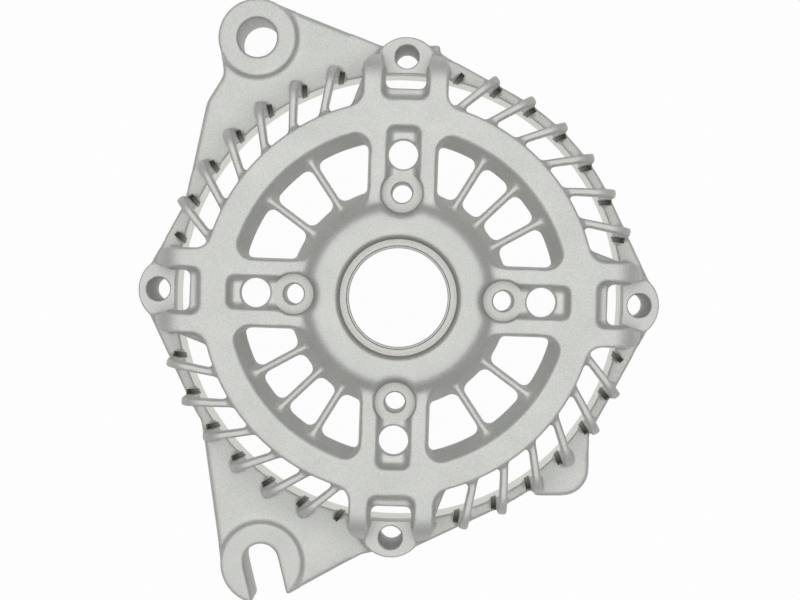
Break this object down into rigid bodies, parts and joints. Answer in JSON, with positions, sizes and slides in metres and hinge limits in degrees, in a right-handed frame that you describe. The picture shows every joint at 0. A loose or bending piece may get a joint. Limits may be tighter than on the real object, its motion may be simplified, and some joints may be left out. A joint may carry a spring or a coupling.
{
  "type": "alternator drive end bracket",
  "caption": "Cast aluminium drive end bracket of an alternator: bearing hub on spokes, slatted windows, slanted vent ribs, stator flange, pivot ear and slotted adjusting lug.",
  "frame": {"origin": "on the bearing axis, in the flat rear face that meets the stator", "axes": "+Z along the bearing axis towards the pulley side, +Y towards the side of the pivot ear, 2 degrees off the line through the upper bolt boss; +X completes the right-handed frame"},
  "size_m": [0.1518, 0.1775, 0.037],
  "materials": {
    "cast_aluminium": "satin"
  },
  "bodies": {
    "root": {"drive_end_bracket": "cast_aluminium"}
  },
  "joints": []
}
